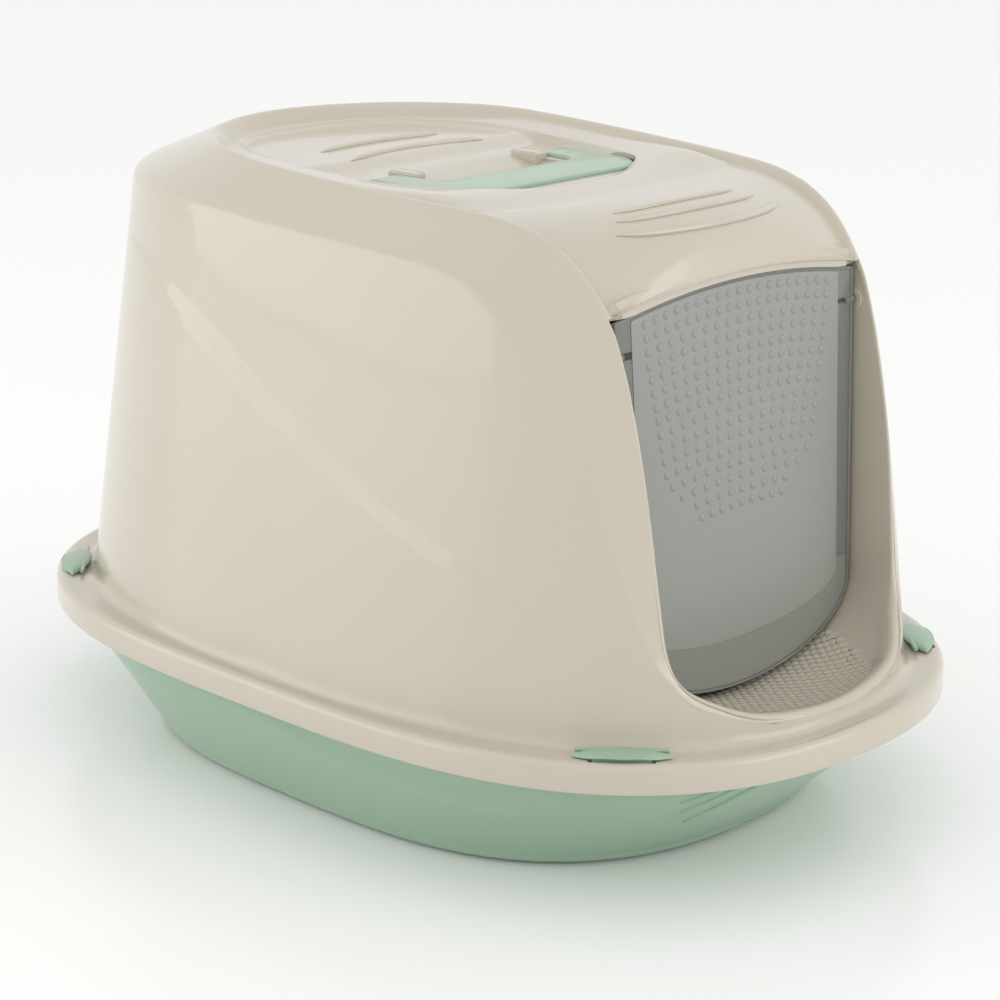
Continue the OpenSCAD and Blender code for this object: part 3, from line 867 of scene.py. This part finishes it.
def build_hood():
    hood = thing("hood_shell", [hood_shell()])
    lugs, holes = [], []
    for x_side in (-1, 1):
        xs = sorted((x_side * 44, x_side * 53))
        lug = resample(np.array([(xs[0], -3), (xs[1], -3), (xs[1], 17), (xs[0], 17)], float), 1.0)
        lugs.append(plate(lug, plate_profile(ROOF_FLOOR_Z - 9, HANDLE_AXIS.z + 3.6, 1.2)))
        boss_x = sorted((x_side * 98.6, x_side * 104.4))
        lugs.append(rod((boss_x[0], DOOR_AXIS.y, DOOR_AXIS.z), (boss_x[1], DOOR_AXIS.y, DOOR_AXIS.z), 5.5))
        bore_x = sorted((x_side * 95, x_side * 102.5))
        holes.append(rod((bore_x[0], DOOR_AXIS.y, DOOR_AXIS.z), (bore_x[1], DOOR_AXIS.y, DOOR_AXIS.z), 2.6))
        pin_x = sorted((x_side * 46, x_side * 58))
        holes.append(rod((pin_x[0], HANDLE_AXIS.y, HANDLE_AXIS.z),
                         (pin_x[1], HANDLE_AXIS.y, HANDLE_AXIS.z), 2.0))
    profile = hood_profile()
    tub = plate(handle_outline(POCKET_GAP + WALL, POCKET_BACK_Y + WALL),
                [(0, POCKET_Z - WALL), (0, ROOF_FLOOR_Z - 1)])
    ribs = [roof_rib(*rib) for rib in ROOF_RIBS]
    treads = tread_bumps(profile[-CHANNEL_RINGS:])
    for name, shells in (("tub", [tub]), ("lug", lugs), ("rib", ribs), ("tread", treads)):
        combine(hood, thing(name, shells), "UNION")
    holes.append(plate(handle_outline(POCKET_GAP, POCKET_BACK_Y),
                       [(1.2, POCKET_Z), (0.3, POCKET_Z + 0.4), (0, POCKET_Z + 1.2), (0, ROOF_FLOOR_Z + 9)]))
    for x in (-24, 8):
        holes.append(block((x - 9, HANDLE_LOW[1] + GRIP_DEPTH + 0.5, ROOF_FLOOR_Z - 30),
                           (x + 9, HANDLE_LOW[1] + GRIP_DEPTH + 4, ROOF_FLOOR_Z + 4)))
    for _, pivot, outwards, along in clip_frames():
        points, faces = block((-17, 6.1, FLANGE_Z - 9), (17, 12.5, FLANGE_Z + 6))
        holes.append((in_frame(points, pivot, outwards, along), faces))
    combine(hood, thing("holes", holes), "DIFFERENCE")
    return finish_piece(hood, finish("hood"), "hood", ["hood"])


# ---- Tray ----
TRAY_BASE = (146.0, 197.5)
TRAY_INSET = 10.6
CRESCENT = np.array([(20, 68), (0, 58.6), (-28, 51), (-56, 45.5), (-85, 42.6), (-112, 40.6), (-135, 39.6),
                     (-158, 40.6), (-179, 45)])


def tray_plan(z, inset=0.0):
    t = z / SKIRT_Z
    a = TRAY_BASE[0] + (RIM_PLAN[0] - TRAY_INSET - TRAY_BASE[0]) * t
    b = TRAY_BASE[1] + (RIM_PLAN[1] - TRAY_INSET - TRAY_BASE[1]) * t
    return (a - inset, b - inset * 1.25, RIM_PLAN[2], RIM_PLAN[3])


def tray_ring(plan, z, count):
    xy = superellipse(plan, np.arange(count) * 360 / count)
    return np.column_stack([xy, np.full(count, z)])


def crescent_depth(points):
    """How far the scooped crescent under the rim lies in from the tray's side."""
    line = curve_through(CRESCENT[::-1], 80)
    y, z = points[:, 1], points[:, 2]
    above = z + 2 - np.interp(y, line[:, 0], line[:, 1])
    span = smoothstep(-186, -180, y) * smoothstep(24, -20, y) * (np.abs(points[:, 0]) > 60)
    return 3.4 * smoothstep(0, 9, above) * (1 - 0.75 * smoothstep(9, 30, above)) * span


def tray_side(inset, z, count):
    """A ring of the tray's side at a height, with the crescent pressed in."""
    ring = tray_ring(tray_plan(z, inset + 2.4 * smoothstep(55, SKIRT_Z, z)), z, count)
    return ring + unit(ring * [-1, -1, 0]) * crescent_depth(ring)[:, None] * [1, 0.4, 0]


def tray_claw(start_angle, low_z, angle_span, high_z, radius):
    """A claw-mark rib that climbs round the tray's front corner."""
    u = np.linspace(0, 1, 33)
    angle = start_angle + angle_span * u
    z = low_z + (high_z - low_z) * u ** 1.25
    points = []
    for a, height in zip(angle, z):
        xy = superellipse(tray_plan(height, 0.35), np.array([a]))[0]
        points.append((xy[0], xy[1], height))
    return sweep(points, blunt(33, radius), squash=1.0)


def build_tray():
    count = 360
    top = FLANGE_Z - WALL - 0.4
    lip = (RIM_PLAN[0] - TRAY_INSET, RIM_PLAN[1] - TRAY_INSET)

    def lip_ring(inset, z):
        return tray_ring((lip[0] - inset, lip[1] - inset) + RIM_PLAN[2:], z, count)

    rings = [tray_ring(tray_plan(0, 6.2), 0, count), tray_ring(tray_plan(0, 5.2), 0.2, count),
             tray_ring(tray_plan(0, 4.6), 1.6, count)]
    for a in np.radians(np.linspace(15, 90, 6)):
        rings.append(tray_ring(tray_plan(6.5, 4.6 * (1 - math.sin(a))), 1.8 + 4.7 * (1 - math.cos(a)), count))
    for z in np.linspace(8.5, SKIRT_Z, 56):
        rings.append(tray_side(0, z, count))
    rings += [lip_ring(2.4, top - 5), lip_ring(0.6, top - 4.4), lip_ring(0, top - 3.8), lip_ring(0, top - 1),
              lip_ring(0.3, top - 0.3), lip_ring(1.0, top), lip_ring(4.4, top), lip_ring(5.2, top - 0.4),
              lip_ring(5.5, top - 1.2)]
    for z in np.linspace(66, 12, 28):
        rings.append(tray_side(WALL, z, count))
    for a in np.radians(np.linspace(20, 90, 5)):
        rings.append(tray_ring(tray_plan(11, WALL + 9 * (1 - math.cos(a))), 3 + 8 * (1 - math.sin(a)), count))
    tray = thing("tray_shell", [loft(rings)])
    claws = []
    for mirror in (1, -1):
        for start, low, span, high in ((62.5, 42, 8.5, 66), (66, 31, 9, 62), (60, 52, 8.5, 68)):
            points, faces = tray_claw(start, low, span, high, 1.5)
            claws.append((points * [-mirror, 1, 1], faces))
    combine(tray, thing("claws", claws), "UNION")
    return finish_piece(tray, finish("tray"), "tray", ["tray"])


# ---- Door ----
def door_top(x):
    return DOOR_CORNER_Z + (DOOR_TOP_Z - DOOR_CORNER_Z) * (1 - (x / DOOR_HALF) ** 2)


def door_outline():
    """The flap's outline, x and height, anticlockwise from its lower right."""
    turn = np.radians(np.linspace(180, 0, 61))
    low = np.column_stack([DOOR_LOW_HALF * np.cos(turn),
                           DOOR_ROUND_Z - (DOOR_ROUND_Z - DOOR_BOTTOM_Z) * np.sin(turn)])
    xs = np.linspace(DOOR_HALF, -DOOR_HALF, 41)
    outline = np.vstack([low, np.column_stack([xs, door_top(xs)])])
    return resample(outline, 2.0)


def panel_outline():
    """The frosted panel's outline inside the flap's clear edge."""
    turn = np.radians(np.linspace(180, 0, 41))
    low_half = DOOR_LOW_HALF - 11
    low = np.column_stack([low_half * np.cos(turn), 131 - 19 * np.sin(turn)])
    xs = np.linspace(DOOR_HALF - 13, -(DOOR_HALF - 13), 31)
    return resample(np.vstack([low, np.column_stack([xs, door_top(xs) - 3.2])]), 2.0)


def to_door(points, front):
    """x, height and distance in front of the flap's middle plane, leaned about its axis."""
    p = np.asarray(points, float)
    placed = np.column_stack([p[:, 0], DOOR_AXIS.y - np.broadcast_to(front, len(p)), p[:, 1]])
    return turned(placed, (1, 0, 0), np.array(DOOR_AXIS), -DOOR_LEAN)


def dot_rows():
    """Centres of the dots: rows as arched as the flap's top, which narrow to a shield's point."""
    pitch = sizes("dot_pitch")
    half_widths = np.array([(185, 33), (193, 46), (206, 59), (239, 65), (270, 71), (293, 74)], float)
    centres = []
    for row in range(16):
        middle = 298.8 - row * 7.55
        half = np.interp(middle - 6, half_widths[:, 0], half_widths[:, 1])
        count = int(half / (pitch * 0.985))
        for i in range(-count, count + 1):
            x = i * half / count
            centres.append((x, middle - 9.8 * (x / DOOR_HALF) ** 2))
    return np.array(centres)


def build_door():
    thickness = 2.4
    half = thickness / 2
    outline = door_outline()
    normals = outward(outline)
    edge = []
    for a in np.radians(np.linspace(-90, 90, 9)):
        edge.append(to_door(outline - normals * half * (1 - math.cos(a)), half * math.sin(a)))
    panel = panel_outline()
    flap = thing("door_sheet", [loft(edge)])
    pins = []
    for side in (-1, 1):
        pins.append(rod((side * (DOOR_HALF - 7), DOOR_AXIS.y, DOOR_AXIS.z),
                        (side * (DOOR_HALF + 4.6), DOOR_AXIS.y, DOOR_AXIS.z), 2.4, sides=24))
    bead = [to_door(outline - normals * (1.0 - 0.8 * math.cos(a)), half + 0.2 + 0.8 * math.sin(a))
            for a in np.linspace(0, 2 * math.pi, 9)]
    combine(flap, thing("pins", pins + [loft(bead, False, False)]), "UNION")
    finish_piece(flap, finish("clear"), "door_flap", ["door_flap"])

    shells = []
    panel_normals = outward(panel)
    step = [(0.0, half - 0.15), (0.0, half + 0.2), (0.15, half + 0.4), (0.5, half + 0.5)]
    rings = [to_door(panel - panel_normals * inset, out) for inset, out in step]
    shells.append(loft(rings))
    # The lower margin under the frosted panel carries the darker grey: a painted reflection along the door's
    # lower edge
    margin = (outline - normals * 2.4)[outline[:, 1] < 138]
    shells.append(loft([to_door(margin, out) for out in (half - 0.1, half + 0.12)]))
    face = half + 0.5
    lean = turned(np.array([(0, -1.0, 0)]), (1, 0, 0), np.zeros(3), -DOOR_LEAN)[0]
    for x, z in dot_rows():
        centre = to_door([(x, z)], face)[0]
        shells.append(dome(centre, lean, sizes("dot_radius"), sizes("dot_height"), sides=12, sink=0.2))
    panel_piece = thing("door_panel", shells)
    # Faces behind the frosted panel's face take the darker margin finish, the painted reflection
    for polygon in panel_piece.data.polygons:
        out = (np.array(polygon.center) / MM - np.array(DOOR_AXIS)) @ lean
        polygon.material_index = int(out < half + 0.15)
    keep = [polygon.material_index for polygon in panel_piece.data.polygons]
    finish_piece(panel_piece, [finish("frosted"), finish("margin")], "door_flap")
    panel_piece.data.polygons.foreach_set("material_index", keep)


# ---- Carrying handle ----
def arc(centre, radius, start, end, count=16):
    turn = np.radians(np.linspace(start, end, count))
    return np.column_stack([centre[0] + radius * np.cos(turn), centre[1] + radius * np.sin(turn)])


def handle_outline(grow=0.0, back=None):
    """Plan of the handle, or of the pocket round it when it is grown."""
    half, corner, arm, inside = HANDLE_HIGH[0] + grow, 30 + grow, 23 + 2 * grow, 9 - min(grow, 3)
    front, inner = HANDLE_LOW[1] - grow, HANDLE_LOW[1] + GRIP_DEPTH + grow
    back = HANDLE_AXIS.y + 1.2 if back is None else back
    return resample(np.vstack([
        arc((-half + corner, front + corner), corner, 180, 270),
        arc((half - corner, front + corner), corner, 270, 360),
        arc((half - 2, back - 2), 2, 0, 90, 5), arc((half - arm + 2, back - 2), 2, 90, 180, 5),
        arc((half - arm - inside, inner + inside), inside, 360, 270, 9),
        arc((-half + arm + inside, inner + inside), inside, 270, 180, 9),
        arc((-half + arm - 2, back - 2), 2, 0, 90, 5), arc((-half + 2, back - 2), 2, 90, 180, 5)]), 1.4)


def build_handle():
    low, high = HANDLE_AXIS.z - 2.8, HANDLE_AXIS.z + 2.8
    bail = thing("handle_bail", [plate(handle_outline(), plate_profile(low, high, 1.9, steps=5))])
    pins = []
    for side in (-1, 1):
        pins.append(rod((side * 46.8, HANDLE_AXIS.y, HANDLE_AXIS.z),
                        (side * 56, HANDLE_AXIS.y, HANDLE_AXIS.z),
                        1.9, sides=24))
    combine(bail, thing("pins", pins), "UNION")
    return finish_piece(bail, finish("fittings"), "carry_handle", ["carry_handle"])


# ---- Clips ----
def eye_outline(length, width, count=48):
    """A pointed oval: two arcs that meet at its tips."""
    radius = (length ** 2 / 4 + width ** 2 / 4) / width
    half = math.degrees(math.asin(length / 2 / radius))
    lower = arc((0, radius - width / 2), radius, 270 - half, 270 + half, count)
    upper = arc((0, -(radius - width / 2)), radius, 90 - half, 90 + half, count)
    return np.vstack([lower[:-1], upper[:-1]])


def clip_cap():
    """The cap: an eye with a raised ridge along it, hollow under its outer edge."""
    outline = eye_outline(52, 17)
    low, high = FLANGE_Z + 0.9, FLANGE_Z + 3.6
    rings = []
    for shrink, z in ((0.88, low + 0.1), (0.97, low), (1.0, low + 0.35), (0.99, low + 0.8),
                      (0.94, low + 1.25),
                      (0.8, high - 0.75), (0.5, high - 0.25), (0.2, high - 0.02)):
        scale = np.array([1 - (1 - shrink) * 0.55, shrink])
        ring = np.column_stack([outline * scale, np.full(len(outline), z)])
        outer = smoothstep(0, 8, ring[:, 1]) * smoothstep(20, 8, np.abs(ring[:, 0]))
        lift = 1.25 if z < low + 0.5 else 0.5 if z < low + 1.3 else 0.0
        ring[:, 2] += lift * outer
        ring[:, 2] -= 0.9 * (np.abs(ring[:, 0]) / 26) ** 3
        rings.append(ring)
    return loft(rings)


def build_clips():
    pieces = []
    for node, pivot, outwards, along in clip_frames():
        shells = [clip_cap()]
        leg = resample(np.array([(-15, 7.5), (15, 7.5), (15, 9.7), (-15, 9.7)], float), 0.8)
        shells.append(plate(leg, plate_profile(SKIRT_Z + 1.7, FLANGE_Z + 2.0, 0.5, steps=2)))
        shells.append(rod((-24, 0, pivot[2]), (24, 0, pivot[2]), 1.2, sides=20))
        placed = []
        for i, (points, faces) in enumerate(shells):
            moved = points if i else points + [0, 5.5, 0]
            placed.append((in_frame(moved, pivot, outwards, along), faces))
        clip = thing(node.replace("latch", "clip"), placed)
        pieces.append(finish_piece(clip, finish("fittings"), node, [node]))
    return pieces


# ---- Filter ----
def build_filter():
    """The carbon pad, and the tray's finish on the holder under it."""
    centre = (PAD_LOW + PAD_HIGH) / 2
    size = PAD_HIGH - PAD_LOW
    corners = np.array([(-1, -1), (1, -1), (1, 1), (-1, 1)]) * (size[:2] / 2 - 0.4) + centre[:2]
    outline = resample(corners, 2.5)
    rings = []
    for inset, z in ((5, PAD_LOW[2] + 0.2), (1.2, PAD_LOW[2] + 0.3), (0.2, PAD_LOW[2] + 1.2),
                     (0.6, centre[2]),
                     (0.2, PAD_HIGH[2] - 1.4), (1.4, PAD_HIGH[2] - 0.5), (6, PAD_HIGH[2] - 0.1)):
        rings.append(np.column_stack([outline - outward(outline) * inset, np.full(len(outline), z)]))
    pad = thing("carbon_pad", [loft(rings)])
    finish_piece(pad, finish("foam"), "filter_holder", ["carbon_filter"])
    holder = frame["nodes"]["filter_holder"]
    holder.data.materials.clear()
    holder.data.materials.append(finish("tray"))
    return pad


# ---- Stage ----
CAMERA_AT = Vector((-1.0647, -1.0607, 0.5999))
LOOK_AT = Vector((-0.00795, -0.02505, 0.1521))


def area_light(name, place, target, width, height, power, colour=(1, 1, 1)):
    data = bpy.data.lights.new(name, "AREA")
    data.shape, data.size, data.size_y, data.energy, data.color = "RECTANGLE", width, height, power, colour
    light = bpy.data.objects.new(name, data)
    light.location = place
    light.rotation_euler = (Vector(target) - Vector(place)).to_track_quat("-Z", "Y").to_euler()
    light.visible_camera = False
    bpy.context.scene.collection.objects.link(light)


def build_stage():
    scene = bpy.context.scene
    scene.view_settings.view_transform = "Standard"
    span = 6000.0
    floor = thing("studio_floor", [(np.array([(-span, -span, 0), (span, -span, 0), (span, span, 0),
                                             (-span, span, 0)]), [[0, 1, 2, 3]])])
    floor.data.materials.append(finish("paper"))

    camera_data = bpy.data.cameras.new("camera")
    camera_data.lens, camera_data.sensor_width = 97.1, 36.0
    camera_data.clip_end = 50
    camera = bpy.data.objects.new("camera", camera_data)
    camera.location = CAMERA_AT
    camera.rotation_euler = (LOOK_AT - CAMERA_AT).to_track_quat("-Z", "Y").to_euler()
    scene.collection.objects.link(camera)
    scene.camera = camera

    world = bpy.data.worlds.new("studio")
    world.use_nodes = True
    world.node_tree.nodes.clear()
    sky = add_node(world.node_tree, "ShaderNodeBackground", Color=(1, 1, 1, 1), Strength=0.93)
    add_node(world.node_tree, "ShaderNodeOutputWorld", Surface=sky.outputs[0])
    scene.world = world

    area_light("side_softbox", (-1.5, 1.05, 0.62), (-0.12, 0.0, 0.2), 1.9, 1.24, 8.5)
    area_light("front_softbox", (0.75, -2.2, 1.0), (0, -0.1, 0.2), 1.9, 1.6, 13)


# ---- Operators ----
class LITTERBOX_OT_hood(bpy.types.Operator):
    """Build the hood with its roof, lip, sill and ribs"""
    bl_idname = "litterbox.hood"
    bl_label = "Hood"

    def execute(self, context):
        build_hood()
        return {"FINISHED"}


class LITTERBOX_OT_tray(bpy.types.Operator):
    """Build the tray"""
    bl_idname = "litterbox.tray"
    bl_label = "Tray"

    def execute(self, context):
        build_tray()
        return {"FINISHED"}


class LITTERBOX_OT_door(bpy.types.Operator):
    """Build the smoked door flap with its frosted, dotted panel"""
    bl_idname = "litterbox.door"
    bl_label = "Door"

    def execute(self, context):
        build_door()
        return {"FINISHED"}


class LITTERBOX_OT_handle(bpy.types.Operator):
    """Build the carrying handle"""
    bl_idname = "litterbox.handle"
    bl_label = "Handle"

    def execute(self, context):
        build_handle()
        return {"FINISHED"}


class LITTERBOX_OT_clips(bpy.types.Operator):
    """Build the four clips that hold the hood to the tray"""
    bl_idname = "litterbox.clips"
    bl_label = "Clips"

    def execute(self, context):
        build_clips()
        return {"FINISHED"}


class LITTERBOX_OT_filter(bpy.types.Operator):
    """Build the carbon filter pad and finish its holder"""
    bl_idname = "litterbox.filter"
    bl_label = "Filter"

    def execute(self, context):
        build_filter()
        return {"FINISHED"}


class LITTERBOX_OT_stage(bpy.types.Operator):
    """Set the floor, the lights and the camera"""
    bl_idname = "litterbox.stage"
    bl_label = "Stage"

    def execute(self, context):
        build_stage()
        return {"FINISHED"}


OPERATORS = (LITTERBOX_OT_stage, LITTERBOX_OT_hood, LITTERBOX_OT_tray, LITTERBOX_OT_door,
             LITTERBOX_OT_handle, LITTERBOX_OT_clips, LITTERBOX_OT_filter)


class LITTERBOX_PT_panel(bpy.types.Panel):
    """Sizes, colours and pieces of the litter box"""
    bl_label = "Litter box"
    bl_space_type = "VIEW_3D"
    bl_region_type = "UI"
    bl_category = "Litter box"

    def draw(self, context):
        for group in (context.scene.litter_box_sizes, context.scene.litter_box_colours):
            for key in group.__annotations__:
                self.layout.prop(group, key)
        for operator in OPERATORS:
            self.layout.operator(operator.bl_idname)


CLASSES = (LitterBoxSizes, LitterBoxColours) + OPERATORS + (LITTERBOX_PT_panel,)


def register():
    for one in CLASSES:
        bpy.utils.register_class(one)
    bpy.types.Scene.litter_box_sizes = bpy.props.PointerProperty(type=LitterBoxSizes)
    bpy.types.Scene.litter_box_colours = bpy.props.PointerProperty(type=LitterBoxColours)


def unregister():
    del bpy.types.Scene.litter_box_colours
    del bpy.types.Scene.litter_box_sizes
    for one in reversed(CLASSES):
        bpy.utils.unregister_class(one)


def main():
    register()
    bpy.ops.litterbox.stage()
    bpy.ops.litterbox.hood()
    bpy.ops.litterbox.tray()
    bpy.ops.litterbox.door()
    bpy.ops.litterbox.handle()
    bpy.ops.litterbox.clips()
    bpy.ops.litterbox.filter()


if __name__ == "__main__":
    main()
